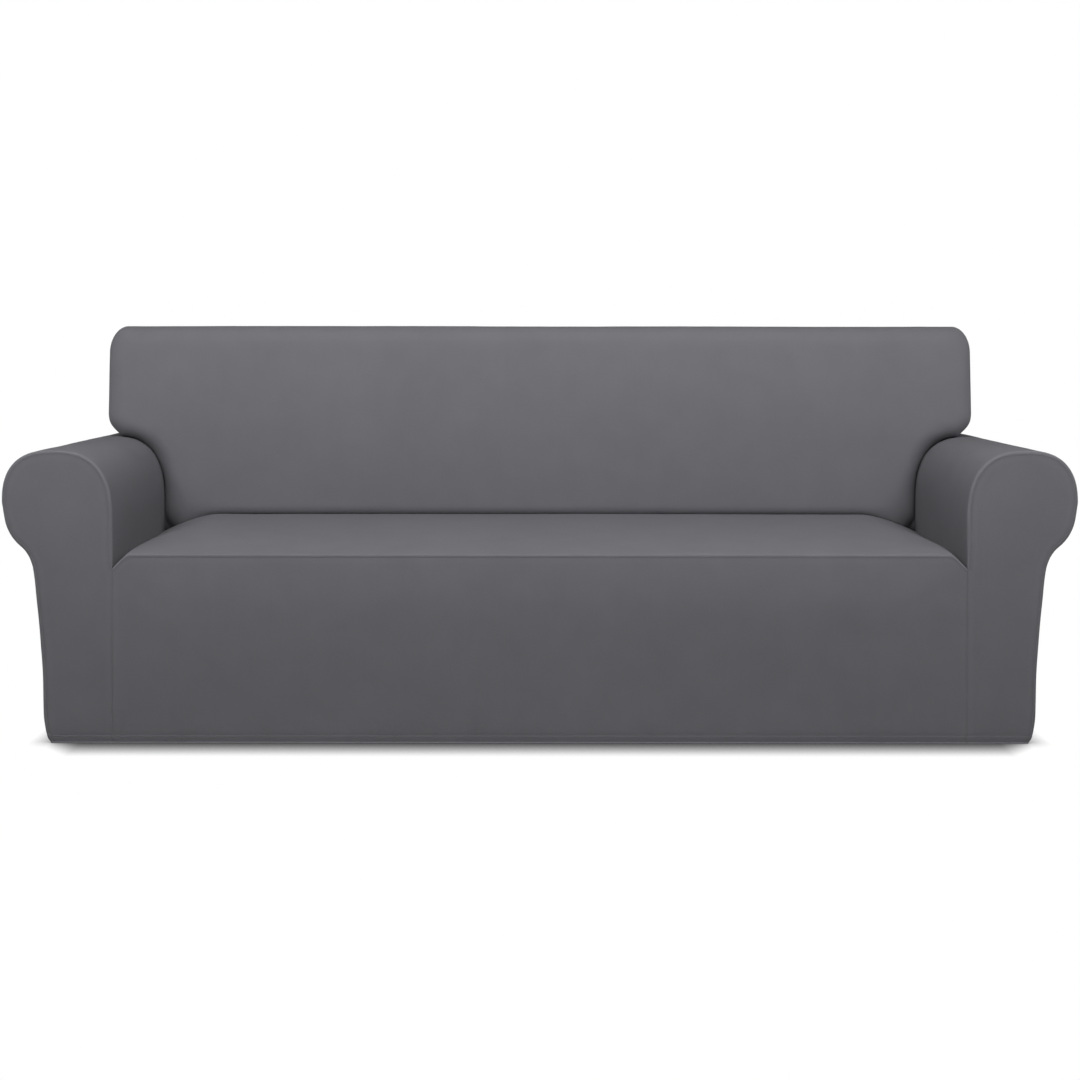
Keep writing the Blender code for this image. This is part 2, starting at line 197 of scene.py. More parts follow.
# Stitches
FRONT_SEAM_POINTS = 300
PATH_STEP = 0.008
HEM_CORNER_STEPS = 9
HEM_STITCH_ROWS = (0.0148, 0.0202)
STITCH_INPUTS = ("Pitch", "Along", "Across", "Height", "Uneven")
HEM_STITCH = (0.0042, 0.0032, 0.0005, 0.0004, 0.12)
SEAM_BAR = (0.0036, 0.0005, 0.0024, 0.0004, 0.15)
HEM_SEED, BAR_SEED = 11, 12
BEAD_SEGMENTS, BEAD_RINGS = 6, 4
BAR_SUNK = 0.0001

# Finish
KNIT_COLOUR = (0.150, 0.149, 0.163)
THREAD_COLOUR = (0.154, 0.153, 0.167)
KNIT_HEIGHT = 0.00025
KNIT_SLANT = 1.3
LEG_AT, LEG_POWER, LOOP_SHARE = 0.25, 0.6, 0.6
KNIT_SHEEN = 0.02
SPECULAR = 0.25
KNIT_ROUGH, WORN_SMOOTHER, GROOVE_ROUGHER = 0.90, 0.10, 0.06
THREAD_ROUGH, STRAND_ROUGHER = 0.72, 0.05
STRAND_HEIGHT = 0.0001
LUMP_GAIN = 3.0
STREAK_STRETCH, STREAK_SHARE = (1.0, 0.06, 1.0), 0.25
PATCH_SWING, PATCH_MIDDLE = 0.5, 0.7
GROOVE_SHADE = 0.10
WORN_AT = 0.0090
LUMPS_TO_A_METRE = {
    "wide clouds": 6.0,
    "clouds": 17.0,
    "worn patches": 40.0,
    "streaks": 90.0,
    "heather": 240.0,
    "fibres": 1400.0,
    "strands": 1800.0,
}
TUCK_SHADE_REACH, SHALLOW_TUCK, POCKET_NEARER = 0.040, 0.029, 0.6

# Camera, lights and floor
CAMERA_DISTANCE, CAMERA_HEIGHT = 4.04, 0.880
CAMERA_LENS, CAMERA_SHIFT, CAMERA_ROLL = 62.0, -0.186, -0.05
AMBIENT = 0.043
FLOOR_HALF = 30.0
FLOOR_BOUNCE = (0.30, 0.30, 0.30)
SHADOW_SIDE = (1.000, 1.065)
SHADOW_REACH, SHADOW_POWER = (0.130, 0.045), (3.2, 1.0)
SHADOW_SAMPLES = 16
SOFTBOXES = (
    # name, width, height, where it stands, what it faces, watts
    ("overhead", 5.0, 0.5, (0.0, -1.3, 1.9), (0.0, 0.0, 0.45), 68.5),
    ("front", 5.0, 0.8, (0.0, -3.6, 1.8), (0.0, 0.0, 0.45), 28.5),
    ("behind", 5.0, 0.8, (0.0, 3.2, 1.5), (0.0, 0.0, 0.45), 14.0),
    ("behind_low", 2.2, 0.8, (0.0, 3.6, 0.5), (0.0, 0.0, 0.45), 50.0),
    ("beside_right", 2.0, 0.5, (3.4, 0.0, 0.45), (0.0, 0.0, 0.45), 17.0),
    ("beside_left", 2.0, 0.5, (-3.4, 0.0, 0.45), (0.0, 0.0, 0.45), 17.0),
)


# Shapes of lines


def follow(table, at):
    """Values on a smooth curve through a two-column table, which never overshoots a row."""
    places, values = np.array(table, float).T
    at = np.clip(at, places[0], places[-1])
    slopes = np.diff(values) / np.diff(places)
    before, after = slopes[:-1], slopes[1:]
    same_way = before * after > 0
    flat = np.zeros_like(before)
    bends = np.divide(2 * before * after, before + after, out=flat, where=same_way)
    tangents = np.concatenate((slopes[:1], bends, slopes[-1:]))
    k = np.clip(np.searchsorted(places, at, side="right") - 1, 0, len(slopes) - 1)
    span = places[k + 1] - places[k]
    s = (at - places[k]) / span
    return (
        values[k] * (1 + 2 * s) * (1 - s) ** 2
        + tangents[k] * span * s * (1 - s) ** 2
        + values[k + 1] * s * s * (3 - 2 * s)
        + tangents[k + 1] * span * s * s * (s - 1)
    )


def ease(share):
    """0 to 1 with a soft start and end."""
    share = np.clip(share, 0.0, 1.0)
    return share * share * (3 - 2 * share)


def blend(first, second, share):
    """Between two values, by a share."""
    return first + (second - first) * share


def spaced(start, end, step, close_start=True, close_end=True):
    """Positions from start to end, a step apart, and close together at a seam or crease."""
    way = 1 if end > start else -1
    first = start + way * np.array(SEAM_SIDE if close_start else (0.0,))
    last = end - way * np.array(SEAM_SIDE if close_end else (0.0,))[::-1]
    inner = abs(last[0] - first[-1])
    count = max(2, round(inner / step) + 1)
    return np.concatenate((first[:-1], np.linspace(first[-1], last[0], count), last[1:]))


def as_points(*coordinates):
    """Points from their coordinates, where what is given once holds for all of them."""
    return np.stack(np.broadcast_arrays(*coordinates), axis=-1)


def walked(line):
    """Distance walked along a line of points, at each of its points."""
    steps = np.linalg.norm(np.diff(line, axis=0), axis=1)
    return np.concatenate(([0.0], np.cumsum(steps)))


def read_along(along, values, positions):
    """Values known at distances along a line, read at other distances along it."""
    columns = [np.interp(positions, along, column) for column in np.atleast_2d(values.T)]
    return np.stack(columns, axis=-1).squeeze()


def resampled(line, positions):
    """Points of a line at the given distances walked along it."""
    return read_along(walked(line), line, positions)


def left_normals(line):
    """Unit normals to the left of a line of (x, z) points; near the hem they stay level."""
    along = np.gradient(line, axis=0)
    normals = as_points(-along[:, 1], along[:, 0])
    normals[line[:, 1] < LEVEL_INSET_TOP, 1] = 0.0
    return normals / np.linalg.norm(normals, axis=1, keepdims=True)


def distance_to(line, spots):
    """Shortest distance from each of many (x, z) spots to a line of points."""
    best = np.full(spots.shape[:-1], np.inf)
    for start, end in zip(line, line[1:]):
        along = end - start
        share = np.clip(((spots - start) @ along) / max(along @ along, 1e-12), 0, 1)
        best = np.minimum(best, np.linalg.norm(start + share[..., None] * along - spots, axis=-1))
    return best


# Outline of the arm


def quarter(side_x, foot_z, power):
    """Quarter of a circle flattened by a power, from its foot at one side to the arm's crest."""
    turns = np.linspace(0, math.pi / 2, CURVE_POINTS)
    reach, rise = np.cos(turns) ** (2 / power), np.sin(turns) ** (2 / power)
    return as_points(blend(ARM_CREST_X, side_x, reach), blend(foot_z, ARM_CREST_Z, rise))


def arm_outline():
    """Fine (x, z) line round the right arm: up the inner wall, over the crest, down to the hem."""
    wall_z = np.linspace(TIP_LEVEL, INNER_CURVE_Z, WALL_POINTS)[:-1]
    inner = quarter(ARM_INSIDE, INNER_CURVE_Z, INNER_POWER)
    roll = quarter(ROLL_WIDEST_X, ROLL_WIDEST_Z, ROLL_POWER)[::-1]
    side_z = np.linspace(ROLL_WIDEST_Z, 0, SIDE_POINTS)[1:]
    side = as_points(follow(ARM_OUTSIDE, side_z), side_z)
    return np.concatenate((as_points(ARM_INSIDE, wall_z), inner[:-1], roll, side))


def crease_z(depth):
    """Height of the crease between seat and arm, at a depth behind the front."""
    return follow(ARM_CREASE, depth)


def drawn_in(z):
    """How far the front or rear face lies in from its plane at a height."""
    return follow(FACE_DRAWN_IN, z)


def edge_rounds(line):
    """Radius of the arm's front edge at each point of its outline: small at the seat's corner."""
    inner = np.arange(len(line)) < np.argmax(line[:, 1])
    return np.where(inner, follow(TIP_ROUND, line[:, 1]), EDGE_ROUND)


ARM_LINE = arm_outline()
ARM_ALONG = walked(ARM_LINE)
ARM_NORMALS = left_normals(ARM_LINE)
ARM_ROUNDS = edge_rounds(ARM_LINE)
ARM_CREST = np.argmax(ARM_LINE[:, 1])
NOTCH = np.argmax(ARM_LINE[:, 0] >= EAR_CORNER[0][1])
NOTCH_FADE = ease((ARM_ALONG - ARM_ALONG[NOTCH]) / NOTCH_REACH)


def arm_seam_line(rounds, fade=1.0):
    """The arm's front or rear seam, in the middle of the gap inside its rounded edge."""
    return ARM_LINE - ARM_NORMALS * ((rounds + SEAM_FLAT) * fade + SEAM_GAP)[:, None]


# Seat surface


def seat_z(x, depth):
    """Height of the seat: its crown in the middle, falling over a shoulder to the crease."""
    rise = 1 - (1 - np.minimum(depth, SEAT_CROWN_DEPTH) / SEAT_CROWN_DEPTH) ** 2
    top = SEAT_FRONT_Z + SEAT_CROWN * rise
    settled = ease(depth / SHOULDER_SETTLES)
    width = blend(SHOULDER_FRONT, SHOULDER_REAR, settled)
    power = blend(SHOULDER_POWER_FRONT, SHOULDER_POWER_REAR, settled)
    share = np.clip(1 - (ARM_INSIDE - np.abs(x)) / width, 0, None)
    return top - (top - crease_z(depth)) * share**power


# Outline and face of the back


def back_foot_z(x):
    """Height of the back's foot, which stands a seam gap above the rear of the seat."""
    return seat_z(np.minimum(np.abs(x), ARM_INSIDE), BACK_TUCK_Y - FRONT) + SEAM_GAP


def back_arm_line():
    """Right edge of the back's front face along the arm, from the seat to the ear."""
    foot = back_foot_z(0.0)
    arm = ARM_LINE[:ARM_CREST] + ARM_NORMALS[:ARM_CREST] * SEAM_GAP
    above_foot = arm[:, 1] > foot + CLEAR_OF_FOOT
    arm = arm[above_foot & (arm[:, 0] < EAR_CORNER[0][1] - CLEAR_OF_EAR)]
    return np.concatenate(([[ARM_INSIDE - SEAM_GAP, foot]], arm))


def back_ear_line():
    """The same edge round the ear, from its lower corner to the rounded corner on top."""
    heights = np.linspace(EAR_CORNER[0][0], EAR_CORNER[-1][0], EAR_POINTS)
    ear = as_points(follow(EAR_CORNER, heights), heights)
    turns = np.linspace(0, math.pi / 2, CORNER_POINTS)
    corner = as_points(
        EAR_X - TOP_CORNER_X * (1 - np.cos(turns)),
        HEIGHT - TOP_CORNER_Z * (1 - np.sin(turns)),
    )
    return np.concatenate((ear, corner))


def ear_setback(ear):
    """Outward normals of the ear's edge, and how fully its rear edge is rounded at each point."""
    normals = -left_normals(ear)
    normals[-1] = (0.0, 1.0)
    return normals, ease(walked(ear) / NOTCH_REACH)


def ear_seam_line():
    """The rear seam round the ear, from its lower corner to the top."""
    ear = back_ear_line()
    normals, fade = ear_setback(ear)
    return ear - normals * ((EDGE_ROUND + SEAM_FLAT) * fade + SEAM_GAP)[:, None]


def up_the_back(z):
    """0 at the back's foot to 1 at its top."""
    foot = SEAT_FRONT_Z + SEAT_CROWN
    return (z - foot) / (HEIGHT - foot)


def back_y(from_edge, from_foot, z):
    """Depth of the back's face: crowned, and rounded away close to its outline."""
    near_foot = 1 - ease(from_foot / BACK_CORNER_REACH)
    near_edge = 1 - ease(from_edge / BACK_CORNER_REACH)
    edge = np.clip(1 - from_edge / (BACK_EDGE + BACK_CORNER_EXTRA * near_foot), 0, None)
    foot = np.clip(1 - from_foot / (BACK_FOOT_EDGE + BACK_CORNER_EXTRA * near_edge), 0, None)
    share = np.minimum(1.0, np.hypot(edge, BACK_FOOT_TURN * foot))
    up = up_the_back(z)
    crown = BACK_CROWN + BACK_BARREL * 4 * np.clip(up * (1 - up), 0, None)
    return blend(BACK_FOOT_Y, BACK_TOP_Y, up) - crown * np.sqrt(1 - share**2)


# Cloth


def value_noise(points, size, seed):
    """Smooth noise from -1 to 1 over many points, with lumps about as large as size."""
    lattice = np.random.default_rng(seed).uniform(-1, 1, (LATTICE, LATTICE, LATTICE))
    scaled = points / size + LATTICE_START
    cell = np.floor(scaled).astype(int)
    share = ease(scaled - cell)
    total = np.zeros(len(points))
    for corner in np.ndindex(2, 2, 2):
        weight = np.prod(np.where(corner, share, 1 - share), axis=1)
        total += weight * lattice[tuple(((cell + corner) % LATTICE).T)]
    return total


def in_pocket(first, second):
    """Distance to the nearer of two creases, smallest where they meet in a deep pocket."""
    near = np.minimum(first, second) + SHALLOW_TUCK
    return np.minimum(near, POCKET_NEARER * np.hypot(first, second))


def add_object(name, data):
    """A mesh, light or camera placed in the scene."""
    thing = bpy.data.objects.new(name, data)
    bpy.context.scene.collection.objects.link(thing)
    return thing


def read(items, name, width=1, kind=np.float32):
    """A property of all the points or corners of a mesh, one row for each."""
    values = np.empty(len(items) * width, kind)
    items.foreach_get(name, values)
    return values.reshape(-1, width).squeeze()


class Patch:
    """A grid of cloth: points, places on the flat cloth, and distances to seams and tucks."""

    def __init__(self, points, flat, seam=None, tuck=None, keep=None, flip=False):
        self.points, self.flat, self.flip = points, flat, flip
        rows, columns = points.shape[:2]
        far = np.full((rows, columns), NO_SEAM)
        self.seam = far if seam is None else seam
        self.tuck = far if tuck is None else tuck
        self.keep = np.ones((rows - 1, columns - 1), bool) if keep is None else keep

    def faces(self, offset):
        """Four-sided faces of the kept cells, as point numbers that start from an offset."""
        rows, columns = self.points.shape[:2]
        index = np.arange(rows * columns).reshape(rows, columns) + offset
        corners = (index[:-1, :-1], index[:-1, 1:], index[1:, 1:], index[1:, :-1])
        faces = np.stack(corners, axis=-1)[self.keep]
        return faces[:, ::-1] if self.flip else faces


def creases(points):
    """Height of the listed soft creases, the same on both halves of the cover."""
    total = np.zeros(len(points))
    spots = points.copy()
    spots[:, 0] = np.abs(spots[:, 0])
    for start, end, width, height in CREASES:
        start, along = np.array(start), np.subtract(end, start)
        share = np.clip((spots - start) @ along / (along @ along), 0, 1)
        away = np.linalg.norm(start + share[:, None] * along - spots, axis=1)
        depth = height * np.sin(math.pi * blend(*CREASE_FADES, share))
        total += depth * np.exp(-((away / width) ** 2))
    return total


def relief(points, seam, tuck):
    """How far cloth stands out at each point: seams drawn in, hem raised, and slow unevenness."""
    groove = -SEAM_DEPTH * np.clip(1 - seam / SEAM_WIDTH, 0, 1) ** 2
    ridge = SEAM_RIDGE * np.exp(-(((seam - SEAM_RIDGE_AT) / (SEAM_RIDGE_AT / 2)) ** 2))
    z = points[:, 2]
    band = HEM_RAISED * ease((HEM_BAND - z) / HEM_STEP)
    fold = -HEM_FOLD_DEPTH * np.clip(1 - z / HEM_FOLD, 0, 1) ** 2
    bead = HEM_BEAD * np.exp(-(((z - HEM_BEAD_AT) / HEM_STEP) ** 2))
    row = -HEM_ROW_DEPTH * np.exp(-(((z - HEM_BAND) / HEM_STEP) ** 2))
    slow = sum(height * value_noise(points, size, seed) for size, height, seed in UNEVENNESS)
    calm = ease(tuck / TUCK_CALM) * ease(z / HEM_CALM)
    return groove + ridge + band + fold + bead + row + (slow + creases(points)) * calm


def sew(name, patches, mirrored=False):
    """Joins patches into one panel of cloth, gives it its relief and turns it into a thin sheet."""
    points = np.concatenate([patch.points.reshape(-1, 3) for patch in patches])
    flat = np.concatenate([patch.flat.reshape(-1, 2) for patch in patches])
    seam = np.concatenate([patch.seam.ravel() for patch in patches])
    tuck = np.concatenate([patch.tuck.ravel() for patch in patches])
    offsets = np.cumsum([0] + [patch.points[..., 0].size for patch in patches])
    faces = np.concatenate([patch.faces(start) for patch, start in zip(patches, offsets)])
    if mirrored:
        points = points * (-1, 1, 1)
        faces = faces[:, ::-1]
    mesh = bpy.data.meshes.new(name)
    mesh.from_pydata(points, [], faces.tolist())
    uv = mesh.uv_layers.new(name="cloth")
    uv.data.foreach_set("uv", flat[read(mesh.loops, "vertex_index", kind=np.int32)].ravel())
    for attribute, values in (("seam", seam), ("tuck", tuck)):
        layer = mesh.attributes.new(attribute, "FLOAT", "POINT")
        layer.data.foreach_set("value", values.astype(np.float32))
    bm = bmesh.new()
    bm.from_mesh(mesh)
    loose = [vert for vert in bm.verts if not vert.link_faces]
    bmesh.ops.delete(bm, geom=loose, context="VERTS")
    bmesh.ops.remove_doubles(bm, verts=bm.verts, dist=SEAM_GAP / 3)
    for face in bm.faces:
        face.smooth = True
    for edge in bm.edges:
        edge.smooth = not edge.is_boundary
    bm.to_mesh(mesh)
    bm.free()
    raise_cloth(mesh)
    panel = add_object(name, mesh)
    thickness = panel.modifiers.new("Cloth thickness", "SOLIDIFY")
    thickness.thickness = CLOTH
    thickness.offset = -1.0
    return panel


def raise_cloth(mesh):
    """Moves each point of a panel along its normal by the cloth's relief."""
    points = read(mesh.vertices, "co", 3, float)
    normals = read(mesh.vertex_normals, "vector", 3)
    seam, tuck = (read(mesh.attributes[name].data, "value") for name in ("seam", "tuck"))
    moved = points + normals * relief(points, seam, tuck)[:, None]
    moved[:, 2] = np.maximum(moved[:, 2], 0.0)
    mesh.vertices.foreach_set("co", moved.ravel())
    mesh.update()


def edge_steps(radius):
    """(sideways, inwards) from a wall's edge back to each step of its rounded edge, seam first."""
    flats = [(radius + SEAM_FLAT * share, 0.0 * radius) for share in EDGE_FLATS]
    turns = [(radius * (1 - math.sin(turn)), radius * (1 - math.cos(turn))) for turn in EDGE_TURNS]
    return flats + turns


def edge_rows(line, normals, radius, y, side, share=1.0):
    """Rows of cloth round the front (-1) or rear (1) edge of a panel with an (x, z) outline."""
    rows = []
    for sideways, inwards in edge_steps(radius):
        x, z = (line - normals * np.reshape(sideways * share, (-1, 1))).T
        rows.append(as_points(x, y - side * inwards, z))
    return rows


# Panels


def seat_cloth():
    """The seat deck, rolled over its front edge, with a tuck down beside each arm."""
    xs = spaced(-ARM_INSIDE + SEAM_GAP, ARM_INSIDE - SEAM_GAP, GRID)
    tucks = np.linspace(TUCK, 0, TUCK_STEPS + 1)[:-1]
    flap = np.concatenate((tucks, np.zeros_like(xs), tucks[::-1]))
    xs = np.concatenate((np.full(TUCK_STEPS, xs[0]), xs, np.full(TUCK_STEPS, xs[-1])))
    steps = edge_steps(SEAT_EDGE_ROUND)
    rest = spaced(SEAT_EDGE_ROUND, BACK_TUCK_Y - FRONT, GRID, close_end=False)[1:]
    rolled = np.array([step[0] for step in steps] + [0.0] * len(rest))
    depths = np.concatenate(([step[1] for step in steps], rest))
    x, depth = np.meshgrid(xs, depths)
    z = seat_z(x, depth) - rolled[:, None] - flap
    points = as_points(x, FRONT + depth, z)
    seam = walked(as_points(depths, -rolled))[:, None] + np.zeros_like(x)
    flat = as_points(x + np.sign(x) * flap, seam)
    to_arm = ARM_INSIDE - np.abs(x)
    to_back = np.clip(BACK_FOOT_Y - FRONT - depth, 0, None)
    tuck = in_pocket(to_arm, to_back)
    rows, columns = np.indices((len(depths) - 1, len(xs) - 1))
    middle = (columns >= TUCK_STEPS) & (columns < len(xs) - TUCK_STEPS - 1)
    keep = (rows >= len(steps) - 1) | middle
    return sew("seat_cloth", [Patch(points, flat, seam, tuck, keep)])


def to_tip(points):
    """Distance from the nearer seat corner, where seat, arm and skirt meet in a shallow tuck."""
    away = np.hypot(np.abs(points[..., 0]) - ARM_INSIDE, points[..., 2] - TIP_LEVEL)
    return away + SHALLOW_TUCK


def skirt_cloth():
    """The front of the base, from the seat's rolled edge down to the drawn-in hem."""
    half = ARM_INSIDE - SEAM_GAP / 2
    xs = spaced(-half, half, GRID)
    settled = FACE_DRAWN_IN[-1][0]
    drop = SEAT_EDGE_ROUND + SEAM_FLAT + SEAM_GAP
    seam_z = seat_z(xs, 0.0) - drop
    top = SEAT_FRONT_Z - drop
    heights = np.concatenate((HEM_ROWS, spaced(HEM_ROWS[-1], top, GRID, False)[1:]))[:, None]
    share = (heights - settled) / (top - settled)
    z = np.where(heights > settled, settled + (seam_z - settled) * share, heights)
    above = np.clip((heights - SWELL_WIDEST) / (top - SWELL_WIDEST), 0, None)
    swell = ease((heights - SWELL_FOOT) / (SWELL_WIDEST - SWELL_FOOT)) - above**2
    swell = SWELL * swell * ease((half - np.abs(xs)) / SWELL_SIDE)
    points = as_points(xs, FRONT + drawn_in(z) - swell, z)
    seam = np.minimum(half - np.abs(xs), seam_z - z)
    return sew("skirt_cloth", [Patch(points, as_points(xs, z), seam, to_tip(points))])


def arm_cloth(name, mirrored):
    """Inside of the arm, over the crest and down to the hem, turned round front and rear edges."""
    length, notch_at = ARM_ALONG[-1], ARM_ALONG[NOTCH]
    stations = np.concatenate((
        spaced(0.0, notch_at, GRID)[:-1],
        spaced(notch_at, length - HEM_ROWS[-1], GRID, True, False),
        length - HEM_ROWS[-2::-1],
    ))
    line = read_along(ARM_ALONG, ARM_LINE, stations)
    normals = read_along(ARM_ALONG, ARM_NORMALS, stations)
    rounds = read_along(ARM_ALONG, ARM_ROUNDS, stations)
    fade = read_along(ARM_ALONG, NOTCH_FADE, stations)
    sunk = drawn_in(line[:, 1])
    crest = np.argmax(line[:, 1])
    wall = (line[:, 1] < INNER_CURVE_Z) & (np.arange(len(line)) < crest)
    share = (line[:, 1] - TIP_LEVEL) / (INNER_CURVE_Z - TIP_LEVEL)
    body = spaced(FRONT + EDGE_ROUND, REAR - EDGE_ROUND, GRID, False, False)[1:-1]
    rows = edge_rows(line, normals, rounds, FRONT + sunk, -1)
    for y in body:
        z = np.where(wall, blend(crease_z(y - FRONT), INNER_CURVE_Z, share), line[:, 1])
        squeezed = y * (REAR - EDGE_ROUND - sunk) / (REAR - EDGE_ROUND)
        rows.append(as_points(line[:, 0], squeezed, z))
    rows += edge_rows(line, normals, EDGE_ROUND, REAR - sunk, 1, fade)[::-1]
    points = np.stack(rows)
    tucks = np.linspace(TUCK, 0, TUCK_STEPS + 1)[:-1]
    flap = np.repeat(points[:, :1], TUCK_STEPS, axis=1)
    flap[..., 2] -= tucks
    points = np.concatenate((flap, points), axis=1)
    along = np.concatenate((-tucks, stations))
    u, v = np.meshgrid(along, walked(points[:, TUCK_STEPS + crest]))
    seam = np.minimum(v, v[-1] - v)
    to_back = np.clip(BACK_FOOT_Y - points[..., 1], 0, None)
    to_ear = np.hypot(to_back, np.clip(u - notch_at, 0, None))
    tuck = in_pocket(np.clip(u, 0, None), to_ear)
    edges = len(EDGE_FLATS) + len(EDGE_TURNS)
    row, column = np.indices((len(points) - 1, len(along) - 1))
    under_ear = np.argmax(line[:, 1] >= EAR_TUCK_LEVEL) + TUCK_STEPS
    past_notch = np.searchsorted(stations, notch_at) + TUCK_STEPS
    keep = (row >= edges - 1) | (column >= TUCK_STEPS)
    keep &= (row < edges + np.argmax(body >= BACK_TUCK_Y)) | (column >= under_ear)
    keep &= (row < len(points) - edges) | (column >= past_notch)
    return sew(name, [Patch(points, as_points(u, v), seam, tuck, keep)], mirrored)


def arm_front_cloth(name, mirrored):
    """The scroll-shaped face of the arm, inside the arm panel's rounded front edge."""
    outline = arm_seam_line(ARM_ROUNDS)
    crest = np.argmax(outline[:, 1])
    inner, outer = outline[: crest + 1], outline[crest:][::-1]
    heights = np.concatenate((
        HEM_ROWS,
        spaced(HEM_ROWS[-1], TIP_LEVEL - SEAM_GAP, GRID, False)[1:],
        spaced(TIP_LEVEL, outline[crest, 1] - SEAM_GAP / 2, GRID),
    ))
    x_inner = np.where(
        heights < TIP_LEVEL,
        ARM_INSIDE + SEAM_GAP / 2,
        np.interp(heights, inner[:, 1], inner[:, 0]),
    )
    x_outer = np.interp(heights, outer[:, 1], outer[:, 0])
    even = np.linspace(SCROLL_SIDE[-1], 1 - SCROLL_SIDE[-1], SCROLL_COLUMNS)
    shares = np.concatenate((SCROLL_SIDE[:-1], even, 1 - np.array(SCROLL_SIDE[-2::-1])))
    x, z = blend(x_inner[:, None], x_outer[:, None], shares), heights[:, None]
    points = as_points(x, FRONT + drawn_in(z), z)
    edge = np.concatenate((as_points(x_inner, heights), as_points(x_outer, heights)[::-1]))
    seam = distance_to(edge, as_points(x, z))
    patch = Patch(points, as_points(x, z), seam, to_tip(points))
    return sew(name, [patch], mirrored)


def back_side():
    """The back's right edge at its stations: points, outward normals and rear rounding."""
    arm, ear = back_arm_line(), back_ear_line()
    arm = resampled(arm, spaced(0.0, walked(arm)[-1], GRID))
    ear = resampled(ear, spaced(0.0, walked(ear)[-1], GRID))
    ear_normals, fade = ear_setback(ear)
    normals = np.concatenate((-left_normals(arm), ear_normals))
    return np.concatenate((arm, ear)), normals, np.concatenate((np.zeros(len(arm)), fade))


def inside_back_cloth():
    """Front of the back, tucked along seat and arms, its ears and top carried to the rear seam."""
    side, normals, fade = back_side()
    edge, level = side[:, 0], side[:, 1]
    inner = spaced(0.0, EAR_X, GRID, True, False)
    distance = inner[inner < BACK_SIDE_BAND]
    middle = np.linspace(1, 0, BACK_MIDDLE_COLUMNS)[1:]
    half = np.concatenate((
        edge[:, None] - distance,
        (edge[:, None] - distance[-1]) * middle,
    ), axis=1)
    x = np.concatenate((half, -half[:, -2::-1]), axis=1)
    foot = back_foot_z(0.0)
    settle = np.clip((INNER_CURVE_Z - level) / (INNER_CURVE_Z - foot), 0, None)
    z = level[:, None] - (foot - back_foot_z(x)) * settle[:, None]
    upper = np.concatenate((back_arm_line()[1:], back_ear_line(), [[0.0, HEIGHT]]))
    spots = as_points(np.abs(x), z)
    from_edge = np.minimum(distance_to(upper, spots), edge[:, None] - np.abs(x))
    from_foot = z - back_foot_z(x)
    points = as_points(x, back_y(from_edge, from_foot, z), z)
    above_arm = np.clip(z - EAR_CORNER[0][0], 0, None)
    tuck = in_pocket(from_foot, from_edge + EAR_SHADE_FALL * above_arm)
    face = Patch(points, as_points(x, z), None, tuck, flip=True)
    return sew("inside_back_cloth", [face, back_wrap(points, side, normals, fade)])


def back_wrap(face, side, normals, fade):
    """The back's cloth past the edge of its face: tucks, ears, top, and the rounded rear edge."""
    levels = side[:, 1]
    over, foot = face[-1, 1:-1], face[0, ::-1][1:]
    rim = np.concatenate((face[:, 0], over, face[::-1, -1], foot))
    up, down = np.tile((0.0, 1.0), (len(over), 1)), np.tile((0.0, -1.0), (len(foot), 1))
    outward = np.concatenate((normals, up, normals[::-1] * (-1, 1), down))
    top, bottom = np.full(len(over), HEIGHT), np.full(len(foot), levels[0])
    level = np.concatenate((levels, top, levels[::-1], bottom))
    rounded = np.concatenate((fade, np.ones(len(over)), fade[::-1], np.zeros(len(foot))))
    tucked = np.linspace(0, 1, TUCK_STEPS + 1)[1:]
    depths = [rim[:, 1] + (BACK_TUCK_Y - rim[:, 1]) * share for share in tucked]
    rest = spaced(BACK_TUCK_Y, REAR - EDGE_ROUND, GRID, False, False)[1:-1]
    depths += list(rest)
    lines = [rim] + [as_points(rim[:, 0], y, rim[:, 2]) for y in depths]
    lines += edge_rows(rim[:, (0, 2)], outward, EDGE_ROUND, REAR, 1, rounded)[::-1]
    points = np.stack(lines)
    depth = np.stack([walked(points[:, k]) for k in range(points.shape[1])], axis=1)
    flat = rim[:, (0, 2)] + outward * depth[..., None]
    ear_start = EAR_CORNER[0][0]
    seam = np.where(level >= ear_start, depth[-1] - depth, NO_SEAM)
    tuck = EAR_SHADE_FALL * np.clip(level - ear_start, 0, None) + np.zeros_like(depth)
    lowest = np.minimum(level[:-1], level[1:])
    row = np.arange(len(points) - 1)[:, None]
    lined = row < TUCK_STEPS + np.count_nonzero(rest < EAR_LINING_REAR)
    side_rows = row < TUCK_STEPS + len(rest)
    arm_top = levels[levels < ear_start][-1]
    keep = (row < TUCK_STEPS) | (lined & (lowest >= EAR_TUCK_LEVEL))
    keep |= (side_rows & (lowest >= arm_top)) | (lowest >= ear_start)
    return Patch(points, flat, seam, tuck, keep, flip=True)


